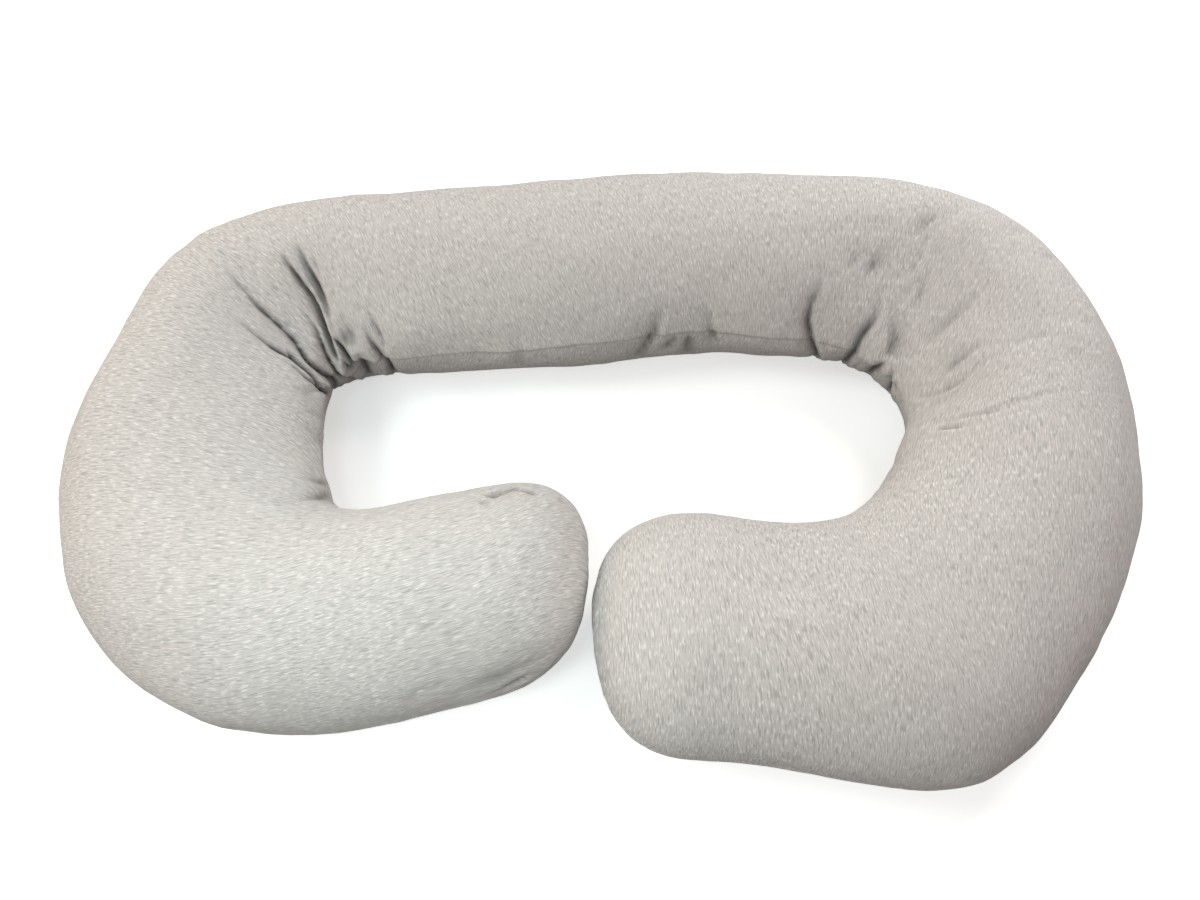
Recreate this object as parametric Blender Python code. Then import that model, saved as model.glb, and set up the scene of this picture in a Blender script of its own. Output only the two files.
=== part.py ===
"""A C-shaped body pillow: one filled cloth tube with a seam round its sides, lying flat.

Metres, +Z up. The origin is on the floor, under the middle of the pillow's outline.
"""

import bmesh
import bpy
import numpy as np

# How the filling and the floor shape every section.
SEAM_SHARE = 0.47  # the seam's height, as a share of the crown's
SAG = 0.030  # how far the floor pushes the underside up
FLOOR_BLEND = 0.012  # the height over which the cloth curves off the floor
UPPER_FULLNESS = 2.0  # superellipse exponents: 2 is an ellipse, more is boxier
LOWER_FULLNESS = 1.8
END_FULLNESS = 2.5

# In the bends the crown leans towards the outer edge: the station, then how far, as a
# share of the half width.
CROWN_LEAN = (
    (3, 0.0),
    (6, 0.12),
    (10, 0.22),
    (12.5, 0.30),
    (15, 0.15),
    (17, 0.05),
    (19.5, 0.10),
    (22, 0.30),
    (24.5, 0.28),
    (28, 0.08),
    (31, 0.0),
)
LEAN_OUTER = 6  # how fast the lean fades down to the outer seam, as a power of the sine
LEAN_INNER = 2  # and down to the inner seam

# The seam is drawn in along both sides.
SEAM_DEPTH = 0.003
SEAM_HALF_WIDTH = 0.010

# The points round a section crowd together near its two seams.
AROUND_UPPER = 22
AROUND_LOWER = 14
CROWDING = 0.35  # 0 spaces the points evenly in angle

END_RINGS = 9  # from the last full section to the tip
END_STATIONS = 2  # the stations that each rounded end takes up past the sections
FOLD_STEPS = 40  # points along each fold's line

# Sections from the left end round to the right one, numbered from 0. Each runs from a
# point on the inner edge (x, y) to one on the outer edge (x, y). Then come its crown's
# height and how many rings are modelled between it and the next section.
SECTIONS = (
    # the left arm's end, arm and lower bend
    (-0.150, -0.075, -0.145, -0.340, 0.190, 3),
    (-0.208, -0.090, -0.203, -0.355, 0.195, 3),
    (-0.280, -0.107, -0.275, -0.373, 0.200, 3),
    (-0.325, -0.110, -0.355, -0.381, 0.204, 3),
    (-0.345, -0.098, -0.440, -0.374, 0.207, 3),
    (-0.354, -0.078, -0.540, -0.331, 0.209, 3),
    (-0.362, -0.060, -0.620, -0.260, 0.210, 3),
    (-0.371, -0.037, -0.673, -0.165, 0.210, 3),
    # up the left side
    (-0.377, -0.005, -0.700, -0.060, 0.210, 3),
    (-0.380, 0.025, -0.699, 0.015, 0.210, 3),
    (-0.381, 0.055, -0.687, 0.075, 0.210, 5),
    # the sharp upper left bend
    (-0.378, 0.080, -0.666, 0.166, 0.209, 9),
    (-0.375, 0.095, -0.630, 0.258, 0.207, 9),
    (-0.365, 0.103, -0.563, 0.331, 0.205, 9),
    (-0.348, 0.109, -0.476, 0.374, 0.205, 9),
    (-0.323, 0.117, -0.390, 0.392, 0.207, 7),
    # along the back
    (-0.267, 0.121, -0.299, 0.401, 0.209, 5),
    (-0.151, 0.129, -0.170, 0.412, 0.210, 5),
    (-0.006, 0.136, -0.020, 0.431, 0.210, 5),
    (0.139, 0.157, 0.140, 0.441, 0.210, 5),
    (0.254, 0.148, 0.275, 0.437, 0.210, 5),
    # the upper right bend
    (0.335, 0.139, 0.396, 0.427, 0.210, 6),
    (0.376, 0.117, 0.508, 0.392, 0.210, 6),
    (0.396, 0.085, 0.612, 0.324, 0.211, 5),
    (0.406, 0.055, 0.676, 0.217, 0.212, 4),
    (0.406, 0.022, 0.700, 0.090, 0.212, 3),
    # down the right side
    (0.389, -0.015, 0.693, -0.035, 0.212, 3),
    (0.368, -0.055, 0.666, -0.136, 0.212, 3),
    (0.335, -0.094, 0.623, -0.221, 0.212, 3),
    # the lower right bend, arm and end
    (0.302, -0.117, 0.572, -0.299, 0.212, 3),
    (0.269, -0.127, 0.502, -0.377, 0.212, 3),
    (0.226, -0.127, 0.421, -0.436, 0.210, 3),
    (0.182, -0.122, 0.328, -0.442, 0.206, 3),
    (0.140, -0.116, 0.217, -0.424, 0.200, 3),
    (0.110, -0.113, 0.120, -0.410, 0.195, 0),
)
LEFT_TIP = (-0.0225, -0.180)
RIGHT_TIP = (-0.0160, -0.265)

# Folds, each from its deep end to the end where it fades: a station (a place along the
# sections, in section numbers) and an angle there, in degrees from the outer seam over
# the crown (90) to the inner seam (180). Then its depth and half width; a fold with a
# negative depth is a ridge.
FOLDS = (
    # gathered into the upper left bend
    (10.75, 180, 10.68, 138, 0.007, 0.007),
    (11.00, 186, 11.25, 126, 0.010, 0.008),
    (11.80, 164, 12.40, 192, 0.008, 0.008),
    (11.80, 160, 12.25, 105, 0.010, 0.009),
    (12.88, 188, 13.12, 132, 0.010, 0.007),
    (13.28, 168, 13.60, 106, 0.018, 0.009),
    (13.98, 140, 13.96, 100, 0.011, 0.009),
    (14.12, 182, 13.60, 154, 0.011, 0.007),
    (14.60, 184, 13.80, 180, 0.009, 0.008),
    (15.34, 184, 15.10, 152, 0.011, 0.009),
    (14.42, 162, 14.65, 148, -0.004, 0.010),
    # puckers under the back
    (17.20, 192, 17.25, 150, 0.004, 0.012),
    (18.45, 188, 18.58, 150, 0.008, 0.010),
    (18.88, 200, 18.86, 168, 0.008, 0.010),
    # drawn into the upper right bend
    (20.38, 180, 20.44, 128, 0.014, 0.010),
    (21.30, 178, 21.52, 132, 0.016, 0.012),
    (22.30, 172, 21.95, 144, 0.010, 0.009),
    (21.40, 190, 22.40, 174, 0.009, 0.009),
    (22.78, 188, 22.70, 166, 0.009, 0.008),
    (22.30, 140, 22.25, 112, 0.006, 0.011),
    (23.15, 142, 23.32, 106, 0.007, 0.013),
    (24.64, 142, 24.05, 176, 0.009, 0.009),
    (25.66, 142, 25.54, 96, 0.009, 0.009),
    (25.66, 142, 25.30, 176, 0.008, 0.009),
    # round the left arm's end
    (-0.10, 132, -0.85, 142, 0.008, 0.008),
    (-1.30, 142, -1.00, 136, 0.005, 0.008),
    (-0.40, 24, 0.55, 13, 0.008, 0.011),
    (-0.40, 24, -1.50, 26, 0.007, 0.010),
    (1.35, 18, 1.00, 30, 0.003, 0.010),
)

# Broad hollows, and swells where the depth is negative. Each row is a station, its
# degrees, the depth and how far it reaches.
HOLLOWS = (
    (12.2, 140, 0.010, 0.060),
    (14.6, 191, 0.010, 0.022),
    (15.9, 160, -0.004, 0.050),
    (20.35, 165, 0.006, 0.030),
    (21.9, 172, -0.008, 0.028),
    (22.6, 130, 0.009, 0.080),
    (24.8, 150, 0.008, 0.050),
    (32.4, 105, 0.006, 0.055),
    (30.0, 95, 0.004, 0.060),
)


def clear_scene():
    for obj in list(bpy.data.objects):
        bpy.data.objects.remove(obj, do_unlink=True)


def power(value, exponent):
    return np.sign(value) * np.abs(value) ** exponent


def spline_slopes(knots, values, first, last):
    """Slopes of the smooth curve through values that starts and ends with the slopes given."""
    gaps = np.diff(knots)
    rises = np.diff(values, axis=0) / gaps[:, None]
    matrix = np.eye(len(knots))
    right = np.zeros_like(values)
    right[0], right[-1] = first, last
    for i in range(1, len(knots) - 1):
        before, after = gaps[i - 1], gaps[i]
        matrix[i, i - 1 : i + 2] = after, 2 * (before + after), before
        right[i] = 3 * (after * rises[i - 1] + before * rises[i])
    return np.linalg.solve(matrix, right)


def along_spline(knots, values, slopes, at):
    i = np.clip(np.searchsorted(knots, at, side="right") - 1, 0, len(knots) - 2)
    gap = (knots[i + 1] - knots[i])[:, None]
    t = (at - knots[i])[:, None] / gap
    return (
        values[i] * (1 + 2 * t) * (1 - t) ** 2
        + slopes[i] * gap * t * (1 - t) ** 2
        + values[i + 1] * t**2 * (3 - 2 * t)
        + slopes[i + 1] * gap * t**2 * (t - 1)
    )


def sections_at(stations):
    """Inner points, outer points, crowns and how full the section is, at any stations."""
    table = np.array(SECTIONS)[:, :5]
    last = len(table) - 1
    middle = (table[:, 0:2] + table[:, 2:4]) / 2
    knots = np.concatenate([[0], np.cumsum(np.linalg.norm(np.diff(middle, axis=0), axis=1))])
    reach_left = np.array(LEFT_TIP) - middle[0]
    reach_right = np.array(RIGHT_TIP) - middle[-1]
    way_in = -reach_left / np.linalg.norm(reach_left)
    way_out = reach_right / np.linalg.norm(reach_right)
    slopes = spline_slopes(
        knots, table, np.array([*way_in, *way_in, 0]), np.array([*way_out, *way_out, 0])
    )
    rows = along_spline(knots, table, slopes, np.interp(stations, np.arange(last + 1), knots))
    past_left = np.clip(-stations / END_STATIONS, 0, 1)
    past_right = np.clip((stations - last) / END_STATIONS, 0, 1)
    left = 1 - (past_left + past_right) ** END_FULLNESS
    centre = (rows[:, 0:2] + rows[:, 2:4]) / 2
    centre += past_left[:, None] * reach_left + past_right[:, None] * reach_right
    half = (rows[:, 2:4] - rows[:, 0:2]) / 2 * left[:, None] ** (1 / END_FULLNESS)
    return centre - half, centre + half, rows[:, 4], np.sqrt(left)


def off_floor(height):
    """Heights with the part below the floor pressed flat, and a soft curve up from it."""
    soft = (height + FLOOR_BLEND) ** 2 / (4 * FLOOR_BLEND)
    return np.where(height > FLOOR_BLEND, height, np.where(height > -FLOOR_BLEND, soft, 0.0))


def skin(stations, angles):
    """Points of the unfolded pillow at matching stations and angles, and the sections' centres."""
    inner, outer, crown, full = sections_at(stations)
    upper = np.sin(angles) >= 0
    fullness = np.where(upper, UPPER_FULLNESS, LOWER_FULLNESS)
    seam = crown * SEAM_SHARE
    reach = np.where(upper, crown - seam, seam + SAG) * full
    height = reach * power(np.sin(angles), 2 / fullness)
    middle, half = (inner + outer) / 2, (outer - inner) / 2
    width = np.maximum(np.linalg.norm(half, axis=1), 4 * SEAM_DEPTH)
    drawn = SEAM_DEPTH * np.exp(-((height / SEAM_HALF_WIDTH) ** 2)) / width
    across = power(np.cos(angles), 2 / fullness) * (1 - drawn)
    lean = np.interp(stations, *zip(*CROWN_LEAN)) * upper
    across += lean * np.sin(angles) ** np.where(np.cos(angles) > 0, LEAN_OUTER, LEAN_INNER)
    xy = middle + across[:, None] * half
    points = np.column_stack([xy, off_floor(seam + height)])
    return points, np.column_stack([middle, seam])


def fold_in(points, centres):
    """Points moved towards their section's centre by every fold and hollow."""
    inward = centres - points
    inward /= np.maximum(np.linalg.norm(inward, axis=1), SEAM_DEPTH)[:, None]
    sunk = np.zeros(len(points))
    along = np.linspace(0, 1, FOLD_STEPS)
    strength = np.minimum(1, 8 * along + 0.3) * (1 - along) ** 0.7
    for station, degrees, end_station, end_degrees, depth, half_width in FOLDS:
        stations = station + along * (end_station - station)
        angles = np.radians(degrees + along * (end_degrees - degrees))
        line, _ = skin(stations, angles)
        away = np.linalg.norm(points[:, None, :] - line[None, :, :], axis=2)
        near = strength * np.exp(-((away / half_width) ** 2))
        sunk += depth * near.max(axis=1)
    for station, degrees, depth, reach in HOLLOWS:
        middle, _ = skin(np.array([station]), np.radians([degrees]))
        sunk += depth * np.exp(-((np.linalg.norm(points - middle, axis=1) / reach) ** 2))
    sunk[points[:, 2] == 0] = 0  # what rests on the floor stays flat
    return points + sunk[:, None] * inward


def ring_stations():
    rings = [row[5] for row in SECTIONS[:-1]]
    body = [i + k / count for i, count in enumerate(rings) for k in range(count)]
    turn = np.linspace(0, np.pi / 2, END_RINGS + 1)[1:]
    past = END_STATIONS * np.sin(turn) ** (2 / END_FULLNESS)
    last = len(SECTIONS) - 1
    return np.concatenate([-past[::-1], body, [last], last + past])


def ring_angles():
    """Angles from the outer seam over the crown to the inner seam, and back underneath."""

    def crowded(count):
        even = np.arange(count) / count
        return even - CROWDING * np.sin(2 * np.pi * even) / (2 * np.pi)

    return np.pi * np.concatenate([crowded(AROUND_UPPER), 1 + crowded(AROUND_LOWER)])


def surface():
    """Points of every ring: an array of rings, by points round it, by x, y and z."""
    stations, angles = ring_stations(), ring_angles()
    points, centres = skin(np.repeat(stations, len(angles)), np.tile(angles, len(stations)))
    return fold_in(points, centres).reshape(len(stations), len(angles), 3)


def centred(points):
    """Points moved so that the origin is on the floor, under the middle of their box."""
    low, high = points.min(axis=(0, 1)), points.max(axis=(0, 1))
    return points - np.array([(low[0] + high[0]) / 2, (low[1] + high[1]) / 2, low[2]])


def closed_mesh(points):
    """A closed mesh over the rings; the first and the last ring are one point each."""
    around = points.shape[1]
    bm = bmesh.new()
    first = bm.verts.new(points[0, 0])
    last = bm.verts.new(points[-1, 0])
    grid = [[bm.verts.new(p) for p in ring] for ring in points[1:-1]]
    for j in range(around):
        k = (j + 1) % around
        bm.faces.new((first, grid[0][j], grid[0][k]))
        bm.faces.new((last, grid[-1][k], grid[-1][j]))
        for near, far in zip(grid[:-1], grid[1:]):
            bm.faces.new((near[j], far[j], far[k], near[k]))
    bmesh.ops.recalc_face_normals(bm, faces=bm.faces)
    mesh = bpy.data.meshes.new("pillow")
    bm.to_mesh(mesh)
    bm.free()
    return mesh


def jersey():
    material = bpy.data.materials.new("heather_jersey")
    material.use_nodes = True
    shader = material.node_tree.nodes["Principled BSDF"]
    shader.inputs["Base Color"].default_value = (0.57, 0.56, 0.53, 1)
    shader.inputs["Roughness"].default_value = 0.9
    shader.inputs["Metallic"].default_value = 0
    return material


def make_pillow():
    mesh = closed_mesh(centred(surface()))
    mesh.shade_smooth()
    mesh.materials.append(jersey())
    pillow = bpy.data.objects.new("pillow", mesh)
    bpy.context.scene.collection.objects.link(pillow)


clear_scene()
make_pillow()
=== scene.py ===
import math

import bpy
import numpy as np
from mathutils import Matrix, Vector


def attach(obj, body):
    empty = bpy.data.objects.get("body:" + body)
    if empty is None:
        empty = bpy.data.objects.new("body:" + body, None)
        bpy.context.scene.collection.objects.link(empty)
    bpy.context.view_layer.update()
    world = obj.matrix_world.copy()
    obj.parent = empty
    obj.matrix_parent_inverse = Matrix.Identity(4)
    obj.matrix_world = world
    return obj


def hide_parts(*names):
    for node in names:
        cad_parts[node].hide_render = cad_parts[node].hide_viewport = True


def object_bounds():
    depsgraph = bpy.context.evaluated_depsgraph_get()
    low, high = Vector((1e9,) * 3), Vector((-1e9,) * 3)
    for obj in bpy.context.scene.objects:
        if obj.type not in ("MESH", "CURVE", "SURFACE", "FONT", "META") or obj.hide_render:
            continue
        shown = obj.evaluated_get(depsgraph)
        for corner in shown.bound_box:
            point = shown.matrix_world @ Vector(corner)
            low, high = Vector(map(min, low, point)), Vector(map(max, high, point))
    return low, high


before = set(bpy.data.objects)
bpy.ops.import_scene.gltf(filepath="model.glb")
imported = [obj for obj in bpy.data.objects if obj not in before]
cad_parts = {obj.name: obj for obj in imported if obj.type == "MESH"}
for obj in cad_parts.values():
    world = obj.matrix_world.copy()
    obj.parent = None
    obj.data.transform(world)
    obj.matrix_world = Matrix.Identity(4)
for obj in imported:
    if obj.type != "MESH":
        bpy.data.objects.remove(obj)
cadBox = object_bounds()
print("frame loaded")


# The cover's shape.
cover = {
    # inner edge x and y, outer edge x and y, crown height, from the left end to the right
    "sections": (
        (-0.150, -0.075, -0.145, -0.340, 0.190),
        (-0.208, -0.090, -0.203, -0.355, 0.195),
        (-0.280, -0.107, -0.275, -0.373, 0.200),
        (-0.325, -0.110, -0.355, -0.381, 0.204),
        (-0.345, -0.098, -0.440, -0.374, 0.207),
        (-0.354, -0.078, -0.540, -0.331, 0.209),
        (-0.362, -0.060, -0.620, -0.260, 0.210),
        (-0.371, -0.037, -0.673, -0.165, 0.210),
        (-0.377, -0.005, -0.700, -0.060, 0.210),
        (-0.380, 0.025, -0.699, 0.015, 0.210),
        (-0.381, 0.055, -0.687, 0.075, 0.210),
        (-0.378, 0.080, -0.666, 0.166, 0.209),
        (-0.375, 0.095, -0.630, 0.258, 0.207),
        (-0.365, 0.103, -0.563, 0.331, 0.205),
        (-0.348, 0.109, -0.476, 0.374, 0.205),
        (-0.323, 0.117, -0.390, 0.392, 0.207),
        (-0.267, 0.121, -0.299, 0.401, 0.209),
        (-0.151, 0.129, -0.170, 0.412, 0.210),
        (-0.006, 0.136, -0.020, 0.431, 0.210),
        (0.139, 0.157, 0.140, 0.441, 0.210),
        (0.254, 0.148, 0.275, 0.437, 0.210),
        (0.335, 0.139, 0.396, 0.427, 0.210),
        (0.376, 0.117, 0.508, 0.392, 0.210),
        (0.396, 0.085, 0.612, 0.324, 0.211),
        (0.406, 0.055, 0.676, 0.217, 0.212),
        (0.406, 0.022, 0.700, 0.090, 0.212),
        (0.389, -0.015, 0.693, -0.035, 0.212),
        (0.368, -0.055, 0.666, -0.136, 0.212),
        (0.335, -0.094, 0.623, -0.221, 0.212),
        (0.302, -0.117, 0.572, -0.299, 0.212),
        (0.269, -0.127, 0.502, -0.377, 0.212),
        (0.226, -0.127, 0.421, -0.436, 0.210),
        (0.182, -0.122, 0.328, -0.442, 0.206),
        (0.140, -0.116, 0.217, -0.424, 0.200),
        (0.110, -0.113, 0.120, -0.410, 0.195),
    ),
    "leftTip": (-0.0225, -0.180),
    "rightTip": (-0.0160, -0.265),
    "endStations": 2.0,  # the stations that each rounded end takes up past the sections
    # superellipse exponents: 2 is an ellipse, more is boxier
    "endFullness": 2.5,
    "upperFullness": 2.0,
    "lowerFullness": 1.8,
    "seamShare": 0.47,  # the seam's height, as a share of the crown's
    "sag": 0.030,  # how far the floor pushes the underside up
    "floorBlend": 0.012,  # the height over which the cloth curves off the floor
    # how far the crown leans to the outer edge, as a share of the half width, by station
    "crownLean": (
        (-2, 0), (3, 0), (6, 0.18), (8, 0.30), (10, 0.36), (12.5, 0.44), (15, 0.26), (17, 0.16),
        (19.5, 0.22), (22, 0.42), (24.5, 0.30), (28, 0.08), (31, 0), (36, 0),
    ),
    # how fast the lean fades to the outer seam and to the inner one, as powers of a sine
    "leanFade": (6, 2),
    # how many degrees above the section's inner end the inner seam runs, by station
    "seamLift": (
        (-2, 0), (14.8, 0), (15.5, 5), (17.1, 5), (17.8, 9), (20, 7), (21.3, 2), (22.5, 0), (36, 0),
    ),
    # the mesh: the spacing along it, and finer stretches, each from and to a station
    "spacing": 0.0072,
    "fineStretches": ((10.4, 15.8, 0.0022), (19.9, 26.6, 0.0040)),
    "fineBlend": 0.5,  # the stations over which a finer stretch begins and ends
    "measuredAt": 4000,  # the places between which the way along the middle is measured
    "endRings": 26,
    "aroundUpper": 108,
    "aroundLower": 56,
    "crowding": 0.55,  # how far the points round a section crowd to its two seams
}


def power(value, exponent):
    return np.sign(value) * np.abs(value) ** exponent


def splineSlopes(knots, values, first, last):
    gaps = np.diff(knots)
    rises = np.diff(values, axis=0) / gaps[:, None]
    matrix = np.eye(len(knots))
    right = np.zeros_like(values)
    right[0], right[-1] = first, last
    for i in range(1, len(knots) - 1):
        before, after = gaps[i - 1], gaps[i]
        matrix[i, i - 1 : i + 2] = after, 2 * (before + after), before
        right[i] = 3 * (after * rises[i - 1] + before * rises[i])
    return np.linalg.solve(matrix, right)


def alongSpline(knots, values, slopes, at):
    i = np.clip(np.searchsorted(knots, at, side="right") - 1, 0, len(knots) - 2)
    gap = (knots[i + 1] - knots[i])[:, None]
    t = (at - knots[i])[:, None] / gap
    return (
        values[i] * (1 + 2 * t) * (1 - t) ** 2
        + slopes[i] * gap * t * (1 - t) ** 2
        + values[i + 1] * t**2 * (3 - 2 * t)
        + slopes[i + 1] * gap * t**2 * (t - 1)
    )


def wayAlong(line):
    # how far along a line of points each of them is
    steps = np.linalg.norm(np.diff(line, axis=0), axis=1)
    return np.concatenate([[0], np.cumsum(steps)])


def sectionsAt(stations):
    table = np.array(cover["sections"])
    last = len(table) - 1
    middle = (table[:, 0:2] + table[:, 2:4]) / 2
    knots = wayAlong(middle)
    reachLeft = np.array(cover["leftTip"]) - middle[0]
    reachRight = np.array(cover["rightTip"]) - middle[-1]
    wayIn = -reachLeft / np.linalg.norm(reachLeft)
    wayOut = reachRight / np.linalg.norm(reachRight)
    slopes = splineSlopes(knots, table, np.array([*wayIn, *wayIn, 0]), np.array([*wayOut, *wayOut, 0]))
    rows = alongSpline(knots, table, slopes, np.interp(stations, np.arange(last + 1), knots))
    pastLeft = np.clip(-stations / cover["endStations"], 0, 1)
    pastRight = np.clip((stations - last) / cover["endStations"], 0, 1)
    left = 1 - (pastLeft + pastRight) ** cover["endFullness"]
    centre = (rows[:, 0:2] + rows[:, 2:4]) / 2
    centre += pastLeft[:, None] * reachLeft + pastRight[:, None] * reachRight
    half = (rows[:, 2:4] - rows[:, 0:2]) / 2 * left[:, None] ** (1 / cover["endFullness"])
    return centre - half, centre + half, rows[:, 4], np.sqrt(left)


def offFloor(height):
    blend = cover["floorBlend"]
    soft = (height + blend) ** 2 / (4 * blend)
    return np.where(height > blend, height, np.where(height > -blend, soft, 0.0))


def skin(stations, angles):
    inner, outer, crown, full = sectionsAt(stations)
    upper = np.sin(angles) >= 0
    fullness = np.where(upper, cover["upperFullness"], cover["lowerFullness"])
    seam = crown * cover["seamShare"]
    reach = np.where(upper, crown - seam, seam + cover["sag"]) * full
    height = reach * power(np.sin(angles), 2 / fullness)
    middle, half = (inner + outer) / 2, (outer - inner) / 2
    across = power(np.cos(angles), 2 / fullness)
    lean = np.interp(stations, *np.array(cover["crownLean"]).T) * upper
    across += lean * np.sin(angles) ** np.where(np.cos(angles) > 0, *cover["leanFade"])
    xy = middle + across[:, None] * half
    return np.column_stack([xy, offFloor(seam + height)])


def between(places, start, end, soft):
    # 1 from start to end, falling to 0 over the soft width round each of them
    return np.clip((places - start) / soft + 0.5, 0, 1) * np.clip((end - places) / soft + 0.5, 0, 1)


def ringStations(coarse, fineStretches, endRings):
    last = len(cover["sections"]) - 1
    close = np.linspace(0, last, cover["measuredAt"])
    inner, outer, _, _ = sectionsAt(close)
    way = np.linalg.norm(np.diff((inner + outer) / 2, axis=0), axis=1)
    middle = (close[1:] + close[:-1]) / 2
    spacing = np.full(len(middle), coarse)
    for start, end, fine in fineStretches:
        inside = between(middle, start, end, cover["fineBlend"])
        spacing = np.minimum(spacing, coarse + (fine - coarse) * inside)
    count = np.concatenate([[0], np.cumsum(way / spacing)])
    body = np.interp(np.linspace(0, count[-1], int(count[-1]) + 1), count, close)
    turn = np.linspace(0, math.pi / 2, endRings + 1)[1:]
    past = cover["endStations"] * np.sin(turn) ** (2 / cover["endFullness"])
    return np.concatenate([-past[::-1], body, last + past])


def ringAngles(upper, lower, crowding):
    def crowded(count):
        even = np.arange(count) / count
        return even - crowding * np.sin(2 * np.pi * even) / (2 * np.pi)

    return np.pi * np.concatenate([crowded(upper), 1 + crowded(lower)])


def smoothGrid(stations, angles):
    # rings of points, turned so that the inner seam's column runs along its seam
    lift = np.radians(np.interp(stations, *np.array(cover["seamLift"]).T))[:, None]
    angles = angles - lift * np.interp(angles, (0, np.pi, 2 * np.pi), (0, 1, 0))
    points = skin(np.repeat(stations, angles.shape[1]), angles.ravel())
    return points.reshape(*angles.shape, 3)


def normalsOf(grid):
    along = np.gradient(grid, axis=0)
    around = np.roll(grid, -1, 1) - np.roll(grid, 1, 1)
    normals = np.cross(around, along)
    normals[0], normals[-1] = normals[1].mean(axis=0), normals[-2].mean(axis=0)
    return normals / np.maximum(np.linalg.norm(normals, axis=2, keepdims=True), 1e-12)


def lengthsAlong(grid):
    steps = np.linalg.norm(np.diff(grid, axis=0), axis=2)
    return np.vstack([np.zeros(grid.shape[1]), np.cumsum(steps, axis=0)])


def lengthsAround(grid):
    steps = np.linalg.norm(np.roll(grid, -1, 1) - grid, axis=2)
    return np.hstack([np.zeros((len(grid), 1)), np.cumsum(steps, axis=1)])


def softNoise(places, seed):
    # smooth random hills between -1 and 1, one unit apart, at (n, 3) places
    shape = places.shape[:-1]
    places = places.reshape(-1, 3)
    cells = 64  # it repeats after this many
    lattice = np.random.default_rng(seed).uniform(-1, 1, (cells, cells, cells))
    cell = np.floor(places).astype(int)
    share = places - cell
    share = share * share * (3 - 2 * share)
    total = np.zeros(len(places))
    for corner in np.ndindex(2, 2, 2):
        weight = np.where(corner, share, 1 - share).prod(axis=1)
        total += weight * lattice[tuple((cell + corner).T % cells)]
    return total.reshape(shape)


# The filling's pressure, simulated on a coarser copy of the cover.
settling = {
    "spacing": 0.007,
    "endRings": 10,
    "aroundUpper": 50,
    "aroundLower": 28,
    "crowding": 0.1,
    # where the cloth is too long for the inner side of a bend, by station, and by how much
    "slackStretches": ((10.6, 15.4), (20.0, 26.0)),
    "slackAngles": (120, 215),
    "slack": 0.15,
    "stationBlend": 1.0,  # how softly these places begin and end
    "angleBlend": 30,
    "heldAngles": (-20, 60),  # the outer side keeps its shape, as the underside does
    "onFloor": 0.001,  # what is lower than this is the underside
    "pressure": 4,
    "mass": 0.3,
    "bendingStiffness": 0.1,
    "quality": 5,
    "frames": 20,
    "farthest": 0.006,  # no point moves more than this
}


def asPoints(grid):
    # the points of a closed cover: one at each end, and every ring's between
    return np.concatenate([grid[0, :1], grid[1:-1].reshape(-1, *grid.shape[2:]), grid[-1, :1]])


def asGrid(points, shape):
    ends = [np.repeat(points[i : i + 1], shape[1], axis=0)[None] for i in (0, len(points) - 1)]
    return np.concatenate([ends[0], points[1:-1].reshape(shape[0] - 2, *shape[1:]), ends[1]])


def pointGroup(piece, name, weights):
    group = piece.vertex_groups.new(name=name)
    for weight in np.unique(weights[weights > 0]):
        group.add(np.flatnonzero(weights == weight).tolist(), float(weight), "REPLACE")
    return name


def settledCopy():
    # how far each point of the coarse cover moves, with the stations and angles of its points
    stations = ringStations(settling["spacing"], (), settling["endRings"])
    angles = ringAngles(settling["aroundUpper"], settling["aroundLower"], settling["crowding"])
    grid = smoothGrid(stations, angles)
    piece = newObject("settling", coverMesh(grid, {}))
    degrees = np.degrees(angles)
    stretches = settling["slackStretches"]
    slack = sum(between(stations, *stretch, settling["stationBlend"]) for stretch in stretches)
    slack = slack[:, None] * between(degrees, *settling["slackAngles"], settling["angleBlend"])
    onFloor = grid[:, :, 2] < settling["onFloor"]
    fromSeam = (degrees + 90) % 360 - 90
    held = onFloor | (between(fromSeam, *settling["heldAngles"], settling["angleBlend"]) > 0.5)

    fabric = piece.modifiers.new("Cloth", "CLOTH")
    way = fabric.settings
    way.quality = settling["quality"]
    way.mass = settling["mass"]
    way.bending_stiffness = settling["bendingStiffness"]
    way.use_pressure = True
    way.uniform_pressure_force = settling["pressure"]
    way.effector_weights.gravity = 0
    way.vertex_group_mass = pointGroup(piece, "held", asPoints(held.astype(float)))
    way.vertex_group_shrink = pointGroup(piece, "slack", asPoints(slack.round(1)))
    way.shrink_min, way.shrink_max = 0, -settling["slack"]
    fabric.point_cache.frame_start, fabric.point_cache.frame_end = 1, settling["frames"]
    for frame in range(1, settling["frames"] + 1):
        bpy.context.scene.frame_set(frame)
    shape = piece.evaluated_get(bpy.context.evaluated_depsgraph_get()).data
    points = np.empty(len(shape.vertices) * 3)
    shape.vertices.foreach_get("co", points)
    bpy.data.objects.remove(piece, do_unlink=True)
    bpy.context.scene.frame_set(1)
    move = asGrid(points.reshape(-1, 3), grid.shape) - grid
    length = np.maximum(np.linalg.norm(move, axis=2, keepdims=True), 1e-9)
    return move * np.minimum(1, settling["farthest"] / length), stations, angles


def resampled(values, knots, places):
    # a smooth curve through the rows of values
    flat = values.reshape(len(values), -1)
    slopes = np.gradient(flat, knots, axis=0)
    return alongSpline(knots, flat, slopes, places).reshape(-1, *values.shape[1:])


def settled(stations, angles):
    move, coarseStations, coarseAngles = settledCopy()
    move = resampled(move, coarseStations, stations).swapaxes(0, 1)
    knots = np.concatenate([coarseAngles[-2:] - 2 * np.pi, coarseAngles, coarseAngles[:2] + 2 * np.pi])
    move = np.concatenate([move[-2:], move, move[:2]])
    print("cloth settled: it moved up to", round(float(np.abs(move).max()) * 1000, 1), "mm")
    return resampled(move, knots, angles).swapaxes(0, 1)


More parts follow.
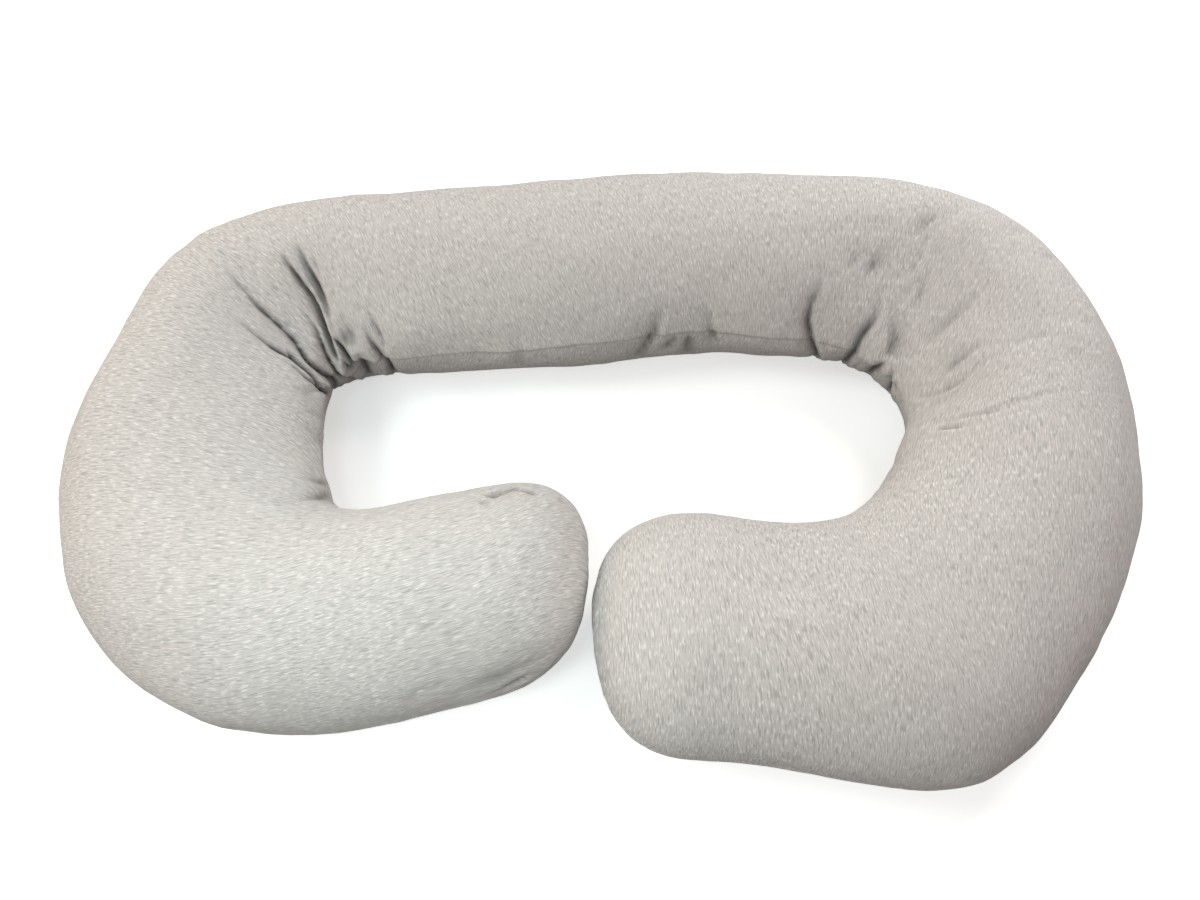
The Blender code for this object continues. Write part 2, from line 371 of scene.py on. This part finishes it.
# Folds, puckers and seams.
folds = {
    # each crease is a row of (station, degrees) points, its depth (less than 0 for a ridge), its
    # half width, how much steeper its far side is, and the share of its length where it is deepest
    "creases": (
        # the left bend, from its inner corner outwards
        (((10.90, 186), (10.63, 173), (10.57, 167), (10.58, 161), (10.71, 155), (10.84, 148),
          (10.78, 141)), 0.009, 0.0018, 0.2, 0.30),
        (((10.60, 178), (10.31, 171), (10.05, 164), (9.95, 157)), 0.005, 0.0020, 0.0, 0.35),
        (((11.00, 190), (10.70, 178), (10.78, 170), (11.02, 163), (11.17, 155), (11.26, 150),
          (11.23, 143), (11.26, 136), (11.36, 126), (11.40, 118)), 0.013, 0.0021, 0.3, 0.48),
        (((11.16, 155), (11.36, 149), (11.50, 144)), 0.010, 0.0018, 0.0, 0.40),
        (((12.58, 212), (12.46, 197), (12.26, 186), (11.95, 176), (11.83, 167), (11.74, 159),
          (11.99, 152), (12.20, 142), (12.16, 131), (12.18, 122), (12.32, 108),
          (12.40, 100)), 0.013, 0.0024, 0.4, 0.42),
        (((14.00, 212), (13.70, 200), (13.20, 191), (12.88, 187), (12.73, 176), (12.84, 164),
          (13.04, 152), (13.16, 143), (13.07, 133)), 0.013, 0.0020, 0.3, 0.40),
        (((13.25, 172), (13.35, 163), (13.47, 152), (13.57, 144), (13.66, 134), (13.63, 125),
          (13.57, 117), (13.52, 110)), 0.020, 0.0022, 0.5, 0.42),
        (((13.93, 148), (14.01, 134), (14.01, 124), (13.96, 114),
          (13.97, 103)), 0.011, 0.0034, 0.5, 0.45),
        (((14.14, 128), (14.20, 118), (14.15, 107)), 0.005, 0.0025, 0.3, 0.40),
        (((14.34, 187), (14.10, 179), (13.88, 171), (13.75, 163), (13.64, 156),
          (13.41, 154)), 0.018, 0.0021, -0.3, 0.45),
        (((13.55, 168), (13.66, 176), (13.90, 182), (14.14, 185), (14.36, 181), (14.66, 179),
          (15.00, 184), (15.12, 190)), 0.018, 0.0026, 0.0, 0.50),
        (((13.60, 157), (13.46, 166), (13.24, 176), (13.62, 186),
          (14.20, 191)), -0.006, 0.0040, 0.0, 0.50),
        (((14.66, 208), (14.64, 194), (14.60, 182), (14.56, 174),
          (14.50, 168)), 0.011, 0.0045, 0.0, 0.40),
        (((15.40, 210), (15.38, 195), (15.34, 180), (15.22, 168), (15.12, 160),
          (15.05, 151)), 0.013, 0.0030, -0.4, 0.40),
        (((14.40, 166), (14.50, 154), (14.45, 143)), 0.006, 0.0050, 0.0, 0.45),
        (((14.10, 165), (14.17, 155), (14.12, 145)), 0.006, 0.0050, -0.3, 0.45),
        (((15.48, 168), (15.44, 157), (15.33, 148), (15.21, 137)), 0.006, 0.0028, 0.3, 0.40),
        (((10.01, 172), (9.84, 159), (9.97, 145)), 0.004, 0.0060, 0.0, 0.35),
        (((9.20, 184), (9.13, 166), (9.26, 152)), 0.004, 0.0050, 0.0, 0.30),
        (((8.30, 186), (8.22, 169), (8.36, 154)), 0.004, 0.0050, 0.0, 0.30),
        (((5.60, 180), (5.43, 165), (5.65, 151)), 0.006, 0.0045, 0.0, 0.30),
        (((4.70, 180), (4.32, 162), (4.53, 146), (5.03, 134)), 0.006, 0.0060, 0.0, 0.35),
        # the long back
        (((17.20, 192), (17.25, 151)), 0.004, 0.0050, 0.0, 0.30),
        (((18.40, 196), (18.48, 178), (18.53, 166), (18.60, 150)), 0.009, 0.0045, 0.4, 0.40),
        (((18.66, 190), (18.74, 174)), 0.007, 0.0040, 0.0, 0.40),
        (((18.88, 204), (18.86, 170)), 0.009, 0.0040, 0.0, 0.40),
        (((19.16, 184), (19.08, 167), (19.04, 151)), 0.007, 0.0035, 0.4, 0.35),
        # the right bend
        (((20.64, 214), (20.59, 198), (20.50, 186), (20.36, 168), (20.30, 157), (20.32, 148),
          (20.38, 142), (20.43, 130)), 0.011, 0.0036, 0.45, 0.40),
        (((21.18, 214), (21.20, 198), (21.26, 184), (21.30, 168), (21.41, 159), (21.51, 153),
          (21.54, 146), (21.49, 137)), 0.010, 0.0036, 0.45, 0.40),
        (((21.01, 142), (21.27, 131), (21.45, 123), (21.68, 114)), 0.004, 0.0040, 0.3, 0.45),
        (((20.71, 134), (20.87, 127), (21.03, 120)), 0.005, 0.0035, 0.3, 0.45),
        (((22.30, 170), (22.22, 163), (22.08, 155), (21.88, 145)), 0.008, 0.0055, -0.5, 0.40),
        (((21.92, 214), (21.96, 198), (22.08, 185), (22.22, 176),
          (22.40, 170)), 0.014, 0.0032, 0.0, 0.40),
        (((22.86, 212), (22.84, 196), (22.76, 182), (22.70, 168)), 0.010, 0.0030, 0.0, 0.35),
        (((23.10, 186), (23.06, 174)), 0.006, 0.0028, 0.0, 0.35),
        (((21.72, 113), (21.88, 105), (22.06, 97)), 0.006, 0.0030, 0.3, 0.45),
        (((21.11, 136), (21.21, 128), (21.35, 120)), 0.006, 0.0035, 0.3, 0.45),
        (((22.20, 114), (22.28, 128), (22.34, 138), (22.46, 149)), 0.004, 0.0050, 0.3, 0.50),
        (((23.34, 107), (23.27, 126), (23.12, 144), (23.07, 157)), 0.005, 0.0060, 0.3, 0.50),
        (((24.60, 127), (24.70, 145), (24.50, 160), (24.00, 176)), 0.0045, 0.0026, 0.4, 0.40),
        (((24.90, 163), (24.84, 153), (24.81, 146), (24.90, 137)), -0.003, 0.0026, 0.0, 0.50),
        (((25.58, 94), (25.68, 107), (25.84, 122), (25.86, 134), (25.76, 152),
          (25.36, 176)), 0.0035, 0.0024, 0.4, 0.50),
        (((25.56, 96), (25.57, 107), (25.65, 116), (25.73, 125), (25.80, 131), (25.71, 141),
          (25.60, 154)), -0.003, 0.0026, 0.0, 0.50),
        (((25.94, 155), (26.04, 144), (26.18, 130)), 0.005, 0.0022, 0.3, 0.45),
        (((24.23, 152), (24.17, 139), (24.25, 125)), 0.005, 0.0040, 0.3, 0.45),
        # the two arms' ends
        (((0.10, 127), (-0.10, 133), (-0.32, 138), (-0.54, 141),
          (-0.76, 142)), 0.015, 0.0019, 0.3, 0.45),
        (((-0.62, 142), (-0.80, 139), (-0.96, 137), (-1.12, 137)), 0.010, 0.0022, 0.0, 0.50),
        (((-1.40, 138), (-1.50, 141), (-1.62, 142)), 0.005, 0.0022, 0.0, 0.50),
        (((0.60, 10), (0.10, 18), (-0.45, 22), (-0.95, 22), (-1.30, 20)), 0.005, 0.0100, 0.0, 0.45),
        (((-0.30, 4), (-0.60, 9), (-0.90, 12)), 0.011, 0.0024, 0.0, 0.40),
        (((1.35, 18), (1.00, 30)), 0.003, 0.0040, 0.0, 0.40),
    ),
    # broad hollows and swells: station, degrees, depth, reach
    "hollows": (
        (12.24, 142, 0.010, 0.060),
        (13.40, 166, 0.006, 0.030),
        (14.60, 191, 0.010, 0.022),
        (15.90, 161, -0.004, 0.050),
        (20.35, 165, 0.006, 0.030),
        (21.90, 172, -0.008, 0.028),
        (22.60, 132, 0.009, 0.080),
        (24.79, 150, 0.008, 0.050),
        (32.40, 105, 0.006, 0.055),
        (30.00, 95, 0.004, 0.060),
    ),
    "steps": 80,  # points along each crease's line
    "reachStations": 0.8,  # how far past its line a crease can reach, in stations
    "unevenness": 0.25,  # how much a crease's depth varies, and how often
    "unevenHills": 5,
    "fade": 0.64,  # a power of the way to a crease's end: the less, the later it fades
    "sharpness": 1.6,  # a power too, for its core
    # how much of a crease is its sharp core, and how many half widths its soft sides reach
    "valley": (0.6, 3.5),
    "shade": (0.85, 5),  # the same for the painted shade that darkens the cloth's colour in it
    "bulge": (0.16, 4, 2),  # the swell beside a crease: height, distance and width
    "atSeam": 0.7,  # how deep a crease still is where it runs into the seam
    "seamDegrees": 172,  # it does so where it starts past this angle
    "darkDepths": (0.0025, 0.009),  # the depths at which a crease's painted shade begins and is at its darkest
    # how deep the gathers beside the inner and the outer seam are, by station
    "innerGathers": (
        (-2, 0.0012), (2, 0.0010), (4, 0.0016), (10, 0.0030), (13, 0.0035), (16, 0.0022), (18, 0.0012),
        (20, 0.0018), (23, 0.0026), (26, 0.0018), (30, 0.0010), (36, 0.0014),
    ),
    "outerGathers": ((-2, 0.0014), (3, 0.0008), (12, 0.0006), (24, 0.0006), (32, 0.0008), (36, 0.0014)),
    "gatherPitch": 0.017,  # from one gather to the next
    "gatherLength": 0.045,
    "gatherReach": 0.030,  # how far from the seam they fade, and as which power
    "gatherFade": 1.5,
    "gatherPower": 0.8,  # less makes the dips between them narrower
    "gatherRest": 0.35,  # the part of a gather that is sunk below the cloth
    # how far the top panel's edge stands over the bottom panel's, by station
    "seamRidge": (
        (-2, 0.001), (5, 0.001), (10, 0.002), (15, 0.003), (22, 0.003), (26, 0.002), (36, 0.001),
    ),
    "ridgeReach": (0.010, 0.016),  # how far that spreads in the top panel and in the bottom one
    "seamDepth": 0.0022,
    "seamHalfWidth": 0.0018,
    # soft unevenness of the filling: height and size
    "lumps": ((0.0030, 0.110), (0.0014, 0.045), (0.0005, 0.020)),
    "seeds": {"lumps": 11, "creases": 5, "gathers": 21},
}


def sharpAndSoft(away, share, reach):
    return share * np.exp(-(away ** folds["sharpness"])) + (1 - share) * np.exp(-away / reach)


# each of these gives how far the cloth moves outwards from the smooth grid
def lumps(grid):
    kinds = enumerate(folds["lumps"], folds["seeds"]["lumps"])
    return sum(height * softNoise(grid / size, seed) for seed, (height, size) in kinds)


def hollows(grid):
    out = np.zeros(grid.shape[:2])
    for station, degrees, depth, reach in folds["hollows"]:
        centre = skin(np.array([station]), np.radians([degrees]))[0]
        away = np.linalg.norm(grid - centre, axis=2) / reach
        out -= depth * np.exp(-(away**2))
    return out


def creases(grid, stations):
    # this one also gives the painted shade for each point, from how far into a crease it lies
    sunk, paintedShade = np.zeros(grid.shape[:2]), np.zeros(grid.shape[:2])
    share = np.linspace(0, 1, folds["steps"])
    for number, (route, depth, halfWidth, lean, deepest) in enumerate(folds["creases"]):
        points = np.array(route, float)
        knots = np.arange(len(points), dtype=float)
        slopes = splineSlopes(knots, points, points[1] - points[0], points[-1] - points[-2])
        at, degrees = alongSpline(knots, points, slopes, share * knots[-1]).T
        line = skin(at, np.radians(degrees))
        start = folds["atSeam"] if route[0][1] > folds["seamDegrees"] else 0
        strength = np.interp(share, (0, deepest, 1), (start, 1, 0)) ** folds["fade"]
        places = np.column_stack([share * folds["unevenHills"], share, share]) + number
        strength *= 1 + folds["unevenness"] * softNoise(places, folds["seeds"]["creases"])
        beyond = folds["reachStations"]
        near = np.flatnonzero((stations > at.min() - beyond) & (stations < at.max() + beyond))
        away = np.linalg.norm(grid[near][:, :, None, :] - line, axis=3)
        nearest = away.argmin(axis=2)
        side = np.sign(stations[near][:, None] - at[nearest])
        away = away.min(axis=2) / halfWidth * (1 + lean * side)
        height, distance, width = folds["bulge"]
        bulge = height * (1 + lean * side) * np.exp(-(((away - distance) / width) ** 2))
        sunk[near] += depth * strength[nearest] * (sharpAndSoft(away, *folds["valley"]) - bulge)
        # painted shade: deeper creases get a darker colour in their cores and on their soft sides
        deep = np.interp(depth * strength[nearest], folds["darkDepths"], (0, 1))
        paintedShade[near] = np.maximum(paintedShade[near], deep * sharpAndSoft(away, *folds["shade"]))
    return -sunk, paintedShade


def seams(grid, stations):
    # each seam pulls the cloth in, with short gathers running away from it
    upper = cover["aroundUpper"]
    lengths = lengthsAround(grid)
    girth = lengths[:, -1:]
    out = np.zeros(grid.shape[:2])
    for column, gathers in ((0, folds["outerGathers"]), (upper, folds["innerGathers"])):
        away = np.abs(lengths[:, :-1] - lengths[:, column : column + 1])
        away = np.minimum(away, girth - away)
        along = lengthsAlong(grid)[:, column : column + 1] + 0 * away
        places = [along / folds["gatherPitch"], away / folds["gatherLength"], away * 0 + column]
        places = np.stack(places, axis=-1)
        hills = np.abs(softNoise(places, folds["seeds"]["gathers"])) ** folds["gatherPower"]
        height = np.interp(stations, *np.array(gathers).T)[:, None]
        fade = np.exp(-((away / folds["gatherReach"]) ** folds["gatherFade"]))
        out += height * (hills - folds["gatherRest"]) * fade
        out -= folds["seamDepth"] * np.exp(-away / folds["seamHalfWidth"])
        if column == upper:
            ridge = np.interp(stations, *np.array(folds["seamRidge"]).T)[:, None]
            below = np.arange(away.shape[1]) > column
            top, bottom = (np.exp(-away / reach) for reach in folds["ridgeReach"])
            out += ridge * np.where(below, -bottom, top)
    return out


# The cloth, and the cover's mesh.
cloth = {
    # how far the cloth's lengthwise ribs turn from straight across, in degrees, by station
    "turn": (
        (-2, 122), (-1, 120), (1, 107), (3, 98), (5, 87), (7, 84), (9, 83), (10, 75), (11, 71),
        (12, 56), (13, 46), (14, 38), (15, 27), (16, 24), (17, 29), (18, 23), (19, 14), (20, 0),
        (21, -10), (22, -22), (23, -17), (24, -11), (25, -12), (26, 2), (28, -6), (30, -12),
        (32, -18), (33, -9), (34, -1), (36, 0),
    ),
    "bendReach": 0.06,  # how widely a bend is spread in the cut cloth
    # where the line it is laid out from runs: 0 the middle, 1 the inner seam
    "layLine": (
        (-2, 0), (0, 0), (2, 0.8), (5, 0.6), (8, 0.2), (10, 0), (12, -0.35), (15, -0.35), (17, 0),
        (19.5, 0.2), (21, 0.4), (22.5, 0.8), (25, 1), (27, 0.3), (29, 0.5), (31, 0.8), (33, 0.3),
        (34, 0), (36, 0),
    ),
    "panelGap": 4,  # how far from the top panel the bottom one is laid out, in metres
    # the rows of the baked map: top panel's left and right halves, then the bottom panel's
    "bakeRows": ((0.006, 0.370), (0.382, 0.746), (0.758, 0.870), (0.882, 0.994)),
    "bakeMargin": 0.004,  # at the left and the right of that map
}


def panelOffsets(grid):
    # how far each point of the top and the bottom panel lies from its panel's middle line
    upper = cover["aroundUpper"]
    lengths = lengthsAround(grid)
    top, bottom = lengths[:, : upper + 1], lengths[:, upper:]
    middle = (bottom[:, :1] + bottom[:, -1:]) / 2
    return top[:, upper // 2, None] - top, bottom - middle


def asCorners(top, bottom):
    # places of points on the two panels, as the four corners of every face between two rings
    left = np.concatenate([top[:, :-1], bottom[:, :-1]], axis=1)
    right = np.concatenate([top[:, 1:], bottom[:, 1:]], axis=1)
    return np.stack([left[:-1], right[:-1], right[1:], left[1:]], axis=2)


def cutCloth(grid, stations):
    # the two panels laid out flat, in metres, with the cloth's ribs running up
    inner, outer, _, _ = sectionsAt(stations)
    middle = (inner + outer) / 2
    along = wayAlong(middle)
    heading = np.unwrap(np.arctan2(*np.gradient(middle, axis=0).T[::-1]))
    away = (along[:, None] - along) / cloth["bendReach"]
    weight = np.exp(-away * away / 2) * np.gradient(along)
    heading = weight @ heading / weight.sum(axis=1)
    nearSeam = np.interp(stations, *zip(*cloth["layLine"]))[:, None]
    steps = np.diff(middle + nearSeam * (inner - middle), axis=0)
    halfway = (heading[1:] + heading[:-1]) / 2
    steps = steps[:, 0] * np.cos(halfway) + steps[:, 1] * np.sin(halfway)
    heading -= np.radians(np.interp(stations, *zip(*cloth["turn"])))
    way = np.column_stack([np.cos(heading), np.sin(heading)])
    across = np.column_stack([-way[:, 1], way[:, 0]])
    panels = []
    for offsets, seam in zip(panelOffsets(grid), (-1, 0)):
        line = nearSeam * offsets[:, seam, None]
        moves = steps[:, None] * (way[1:] + way[:-1]) / 2
        moves += np.diff(line, axis=0) * (across[1:] + across[:-1]) / 2
        places = np.vstack([[0, 0], np.cumsum(moves, axis=0)])
        panels.append(places[:, None] + (offsets - line)[:, :, None] * across[:, None])
    return asCorners(panels[0], panels[1] + np.array([0, cloth["panelGap"]]))


def bakeLayout(grid, stations):
    inner, outer, _, _ = sectionsAt(stations)
    along = wayAlong((inner + outer) / 2)
    along = along / along[-1]
    margin = cloth["bakeMargin"]
    corners = []
    for half in (0, 1):
        panels = []
        for offsets, (low, high) in zip(panelOffsets(grid), cloth["bakeRows"][half::2]):
            reach = np.abs(offsets).max()
            rise = (low + high) / 2 + offsets / reach * (high - low) / 2
            run = margin + (1 - 2 * margin) * (2 * along - half)
            run = np.broadcast_to(run[:, None], rise.shape)
            panels.append(np.stack([run, rise], axis=-1))
        corners.append(asCorners(*panels))
    cut = np.searchsorted(along, 0.5)
    return np.concatenate([corners[0][:cut], corners[1][cut:]])


def coverMesh(grid, layouts):
    # one point at each end, quads between the rings, and every layout's corners
    rings, around = grid.shape[:2]
    points = asPoints(grid)
    number = np.arange((rings - 2) * around).reshape(rings - 2, around) + 1
    beside = np.roll(number, -1, axis=1)
    quads = np.stack([number[:-1], beside[:-1], beside[1:], number[1:]], axis=-1).reshape(-1, 4)
    first = np.stack([np.zeros(around, int), beside[0], number[0]], axis=-1)
    last = np.stack([np.full(around, len(points) - 1), number[-1], beside[-1]], axis=-1)
    mesh = bpy.data.meshes.new("pillowCover")
    mesh.from_pydata(points.tolist(), [], quads.tolist() + first.tolist() + last.tolist())
    for name, corners in layouts.items():
        start, end = corners[0], corners[-1]
        start = np.stack([(start[:, 0] + start[:, 1]) / 2, start[:, 2], start[:, 3]], axis=1)
        end = np.stack([(end[:, 2] + end[:, 3]) / 2, end[:, 0], end[:, 1]], axis=1)
        parts = [part.reshape(-1, 2) for part in (corners[1:-1], start, end)]
        mesh.uv_layers.new(name=name).data.foreach_set("uv", np.concatenate(parts).ravel())
    mesh.shade_smooth()
    return mesh


def newObject(name, data):
    made = bpy.data.objects.new(name, data)
    bpy.context.scene.collection.objects.link(made)
    return made


def makeCover():
    stations = ringStations(cover["spacing"], cover["fineStretches"], cover["endRings"])
    angles = ringAngles(cover["aroundUpper"], cover["aroundLower"], cover["crowding"])
    grid = smoothGrid(stations, angles)
    broad = grid + normalsOf(grid) * (lumps(grid) + hollows(grid))[:, :, None]
    broad = broad + settled(stations, angles)
    pressed, paintedShade = creases(grid, stations)
    grid = broad + normalsOf(broad) * (pressed + seams(grid, stations))[:, :, None]
    grid[:, :, 2] = np.maximum(grid[:, :, 2], 0)
    print("cover:", grid.shape, "points")
    low, high = grid.min(axis=(0, 1)), grid.max(axis=(0, 1))
    centre = (cadBox[0] + cadBox[1]) / 2
    placed = grid + np.array([centre.x, centre.y, 0]) - (low + high) / 2 * np.array([1, 1, 0])
    layouts = {"cloth": cutCloth(grid, stations), "OFBake": bakeLayout(grid, stations)}
    mesh = coverMesh(placed, layouts)
    # the painted shade of the creases, which the cloth's colour reads
    paintedShadeLayer = mesh.attributes.new("paintedShade", "FLOAT", "POINT")
    paintedShadeLayer.data.foreach_set("value", asPoints(paintedShade))
    return newObject("pillowCover", mesh)


# Materials.
class Value:
    # a socket that adds Math nodes when it is used in an expression
    def __init__(self, tree, socket):
        self.tree, self.socket = tree, socket

    def maths(self, operation, first, second):
        node = self.tree.nodes.new("ShaderNodeMath")
        node.operation = operation
        for place, part in zip(node.inputs, (first, second)):
            if isinstance(part, Value):
                self.tree.links.new(part.socket, place)
            else:
                place.default_value = part
        return Value(self.tree, node.outputs[0])

    def __add__(self, other):
        return self.maths("ADD", self, other)

    def __radd__(self, other):
        return self.maths("ADD", other, self)

    def __sub__(self, other):
        return self.maths("SUBTRACT", self, other)

    def __rsub__(self, other):
        return self.maths("SUBTRACT", other, self)

    def __mul__(self, other):
        return self.maths("MULTIPLY", self, other)

    def __rmul__(self, other):
        return self.maths("MULTIPLY", other, self)


class Nodes:
    # a node tree and one way to add any node to it
    def __init__(self, tree):
        self.tree = tree

    def add(self, kind, settings=None, values=None, output=0):
        node = self.tree.nodes.new(kind)
        for name, value in (settings or {}).items():
            setattr(node, name, value)
        for name, value in (values or {}).items():
            self.put(node, name, value)
        return Value(self.tree, node.outputs[output])

    def put(self, node, name, value):
        if isinstance(value, Value):
            self.tree.links.new(value.socket, node.inputs[name])
        else:
            node.inputs[name].default_value = value

    def between(self, value, low, high):
        # 0 below low, 1 above high and a soft step between
        settings = {"interpolation_type": "SMOOTHSTEP"}
        return self.add("ShaderNodeMapRange", settings, {0: value, 1: low, 2: high})

    def mixed(self, share, first, second):
        colours = {0: share, 6: first, 7: second}
        return self.add("ShaderNodeMix", {"data_type": "RGBA"}, colours, 2)


class Finish(Nodes):
    # a material and its shader
    def __init__(self, name):
        self.material = bpy.data.materials.new(name)
        self.material.use_nodes = True
        super().__init__(self.material.node_tree)
        self.shader = self.tree.nodes["Principled BSDF"]


jersey = {
    "grey": (0.596, 0.553, 0.537, 1),
    "darkFibre": (0.34, 0.33, 0.32, 1),
    "lightFibre": (0.84, 0.83, 0.80, 1),
    # the spun streaks: width and length in metres, how strong they are, between which levels of
    # the noise they come up, and a shift that keeps each kind apart from the others
    "darkStreaks": {
        "size": (0.0017, 0.016), "strength": 0.66, "levels": (0.48, 0.72), "shift": (0, 0, 0),
    },
    "lightStreaks": {
        "size": (0.0015, 0.011), "strength": 0.60, "levels": (0.52, 0.74), "shift": (31, 17, 0),
    },
    "hairs": {"size": (0.0012, 0.008), "strength": 0.22, "levels": (0.30, 0.75), "shift": (7, 53, 0)},
    "patches": {"size": (0.016, 0.050), "strength": 0.35, "shift": (3, 9, 0)},
    "paintedShadeColour": (0.05, 0.05, 0.05, 1),  # the painted shade deep in a crease, and how strong it is there
    "paintedShadeStrength": 0.97,
    "rib": 0.0026,  # from one knitted rib to the next
    "ribWaver": 0.6,
    "relief": {"ribs": 0.3, "lightStreaks": 0.5, "patches": 1.5},  # each one's part in the relief
    "reliefStrength": 0.5,
    "reliefDepth": 0.0004,
    "roughness": 0.92,
    "sheen": 0.2,
    "sheenRoughness": 0.5,
    "specular": 0.2,
}


def jerseyFinish():
    finish = Finish("heatherJersey")
    place = finish.add("ShaderNodeUVMap", {"uv_map": "cloth"})

    def noise(kind, detail):
        width, length = kind["size"]
        layout = {"Vector": place, "Location": kind["shift"], "Scale": (1 / width, 1 / length, 1)}
        moved = finish.add("ShaderNodeMapping", None, layout)
        values = {"Vector": moved, "Scale": 1.0, "Detail": detail, "Roughness": 0.6}
        return finish.add("ShaderNodeTexNoise", {"noise_dimensions": "2D"}, values)

    def streaks(name):
        return finish.between(noise(jersey[name], 1.0), *jersey[name]["levels"])

    dark, light, hair = streaks("darkStreaks"), streaks("lightStreaks"), streaks("hairs")
    patch = noise(jersey["patches"], 2.0)
    paintedShade = finish.add("ShaderNodeAttribute", {"attribute_name": "paintedShade"}, None, 2)
    share = dark * jersey["darkStreaks"]["strength"] + (patch - 0.5) * jersey["patches"]["strength"]
    colour = finish.mixed(share, jersey["grey"], jersey["darkFibre"])
    colour = finish.mixed(hair * jersey["hairs"]["strength"], colour, jersey["darkFibre"])
    colour = finish.mixed(light * jersey["lightStreaks"]["strength"], colour, jersey["lightFibre"])
    # painted shade: the colour darkens towards the cores of the creases
    colour = finish.mixed(paintedShade * jersey["paintedShadeStrength"], colour, jersey["paintedShadeColour"])
    finish.put(finish.shader, "Base Color", colour)
    finish.shader.inputs["Roughness"].default_value = jersey["roughness"]
    finish.shader.inputs["Sheen Weight"].default_value = jersey["sheen"]
    finish.shader.inputs["Sheen Roughness"].default_value = jersey["sheenRoughness"]
    finish.shader.inputs["Specular IOR Level"].default_value = jersey["specular"]
    scale = 0.314 / jersey["rib"]  # at scale 1 a wave texture's bands are 0.314 apart
    wave = {"Vector": place, "Scale": scale, "Distortion": jersey["ribWaver"], "Detail": 1.0}
    ribs = finish.add("ShaderNodeTexWave", {"wave_type": "BANDS", "bands_direction": "X"}, wave, 1)
    relief = jersey["relief"]
    height = ribs * relief["ribs"] + light * relief["lightStreaks"] + patch * relief["patches"]
    raised = {"Height": height, "Strength": jersey["reliefStrength"], "Distance": jersey["reliefDepth"]}
    finish.put(finish.shader, "Normal", finish.add("ShaderNodeBump", None, raised))
    return finish.material


# Floor, camera and light.
studio = {
    "floorReach": 20,
    "floorRoughness": 0.9,
    # the floor's colour and glow to the camera, and its colour to the light that falls on it
    "floor": (0.95, 0.95, 0.95, 1),
    "floorGlow": (0.5, 0.5, 0.5, 1),
    "floorBounce": (0.14, 0.14, 0.14, 1),
    # the sky's light, and how it looks to the camera
    "sky": (0.155, 0.15, 0.145, 1),
    "backdrop": (0.88, 0.88, 0.88, 1),
    "cameraPlace": (-0.0069, -0.5898, 1.1786),
    "cameraDown": 62.0,  # degrees below level
    "imageWidth": 1200,
    "focalPixels": 924.0,
    "sensor": 36.0,
    "aim": (0.0, 0.0, 0.1),  # where most lights point
    # place, width, watts and colour of each of them
    "lights": {
        "leftHigh": ((-1.6, 0.0, 1.9), 0.9, 17.8, (0.84, 1.0, 1.0)),
        "leftLow": ((-2.2, 0.0, 1.0), 0.9, 9.4, (1.0, 0.70, 0.48)),
        "backLeft": ((-1.6, 1.6, 1.0), 0.9, 14, (1.0, 0.92, 0.84)),
        "backRight": ((1.55, 1.55, 1.0), 0.9, 23.6, (0.94, 1.0, 0.96)),
        "backRightHigh": ((1.15, 1.15, 1.9), 0.9, 16.8, (1.0, 0.92, 0.90)),
        "front": ((0.0, -0.8, 0.7), 0.3, 1.4, (0.90, 1.0, 0.95)),
        "frontLeft": ((-0.8, -0.8, 0.9), 0.4, 3.7, (1.0, 0.98, 0.96)),
        "frontRight": ((0.9, -0.8, 0.8), 0.4, 1.6, (1.0, 0.88, 0.86)),
    },
    # place, width, watts, colour, aim and spread in degrees of a narrow light over the left arm
    "armLight": ((-0.33, -0.55, 1.3), 0.4, 0.17, (0.72, 1.0, 1.0), (-0.26, -0.24, 0.15), 38),
}


def makeFloor():
    mesh = bpy.data.meshes.new("floor")
    far = studio["floorReach"]
    corners = [(-far, -far, 0), (far, -far, 0), (far, far, 0), (-far, far, 0)]
    mesh.from_pydata(corners, [], [(0, 1, 2, 3)])
    finish = Finish("paleFloor")
    seen = finish.add("ShaderNodeLightPath")  # 1 for what the camera sees, 0 for light on its way
    finish.put(finish.shader, "Base Color", finish.mixed(seen, studio["floorBounce"], studio["floor"]))
    finish.shader.inputs["Roughness"].default_value = studio["floorRoughness"]
    finish.put(finish.shader, "Emission Color", finish.mixed(seen, (0, 0, 0, 1), studio["floorGlow"]))
    finish.shader.inputs["Emission Strength"].default_value = 1.0
    mesh.materials.append(finish.material)
    floor = newObject("floor", mesh)


def makeCamera():
    camera = newObject("camera", bpy.data.cameras.new("camera"))
    camera.location = studio["cameraPlace"]
    camera.rotation_euler = (math.radians(90 - studio["cameraDown"]), 0, 0)
    camera.data.sensor_width = studio["sensor"]
    camera.data.lens = studio["sensor"] * studio["focalPixels"] / studio["imageWidth"]
    bpy.context.scene.camera = camera


def areaLight(name, place, size, power, colour, aim=studio["aim"], spread=180):
    light = bpy.data.lights.new(name, "AREA")
    light.shape, light.size, light.energy, light.color = "DISK", size, power, colour
    light.spread = math.radians(spread)
    lamp = newObject(name, light)
    lamp.location = place
    lamp.visible_camera = False
    lamp.rotation_euler = (Vector(aim) - Vector(place)).to_track_quat("-Z", "Y").to_euler()


def makeLights():
    for name, settings in studio["lights"].items():
        areaLight(name, *settings)
    areaLight("overLeftArm", *studio["armLight"])
    world = bpy.data.worlds.new("studio")
    world.use_nodes = True
    sky = Nodes(world.node_tree)
    seen = sky.add("ShaderNodeLightPath")
    sky.put(sky.tree.nodes["Background"], "Color", sky.mixed(seen, studio["sky"], studio["backdrop"]))
    bpy.context.scene.world = world
    bpy.context.scene.view_settings.view_transform = "Standard"


pillowCover = makeCover()
pillowCover.data.materials.append(jerseyFinish())
print("cover made")
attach(pillowCover, "root")
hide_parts("pillow")
makeFloor()
makeCamera()
makeLights()
print("floor, camera and lights made")
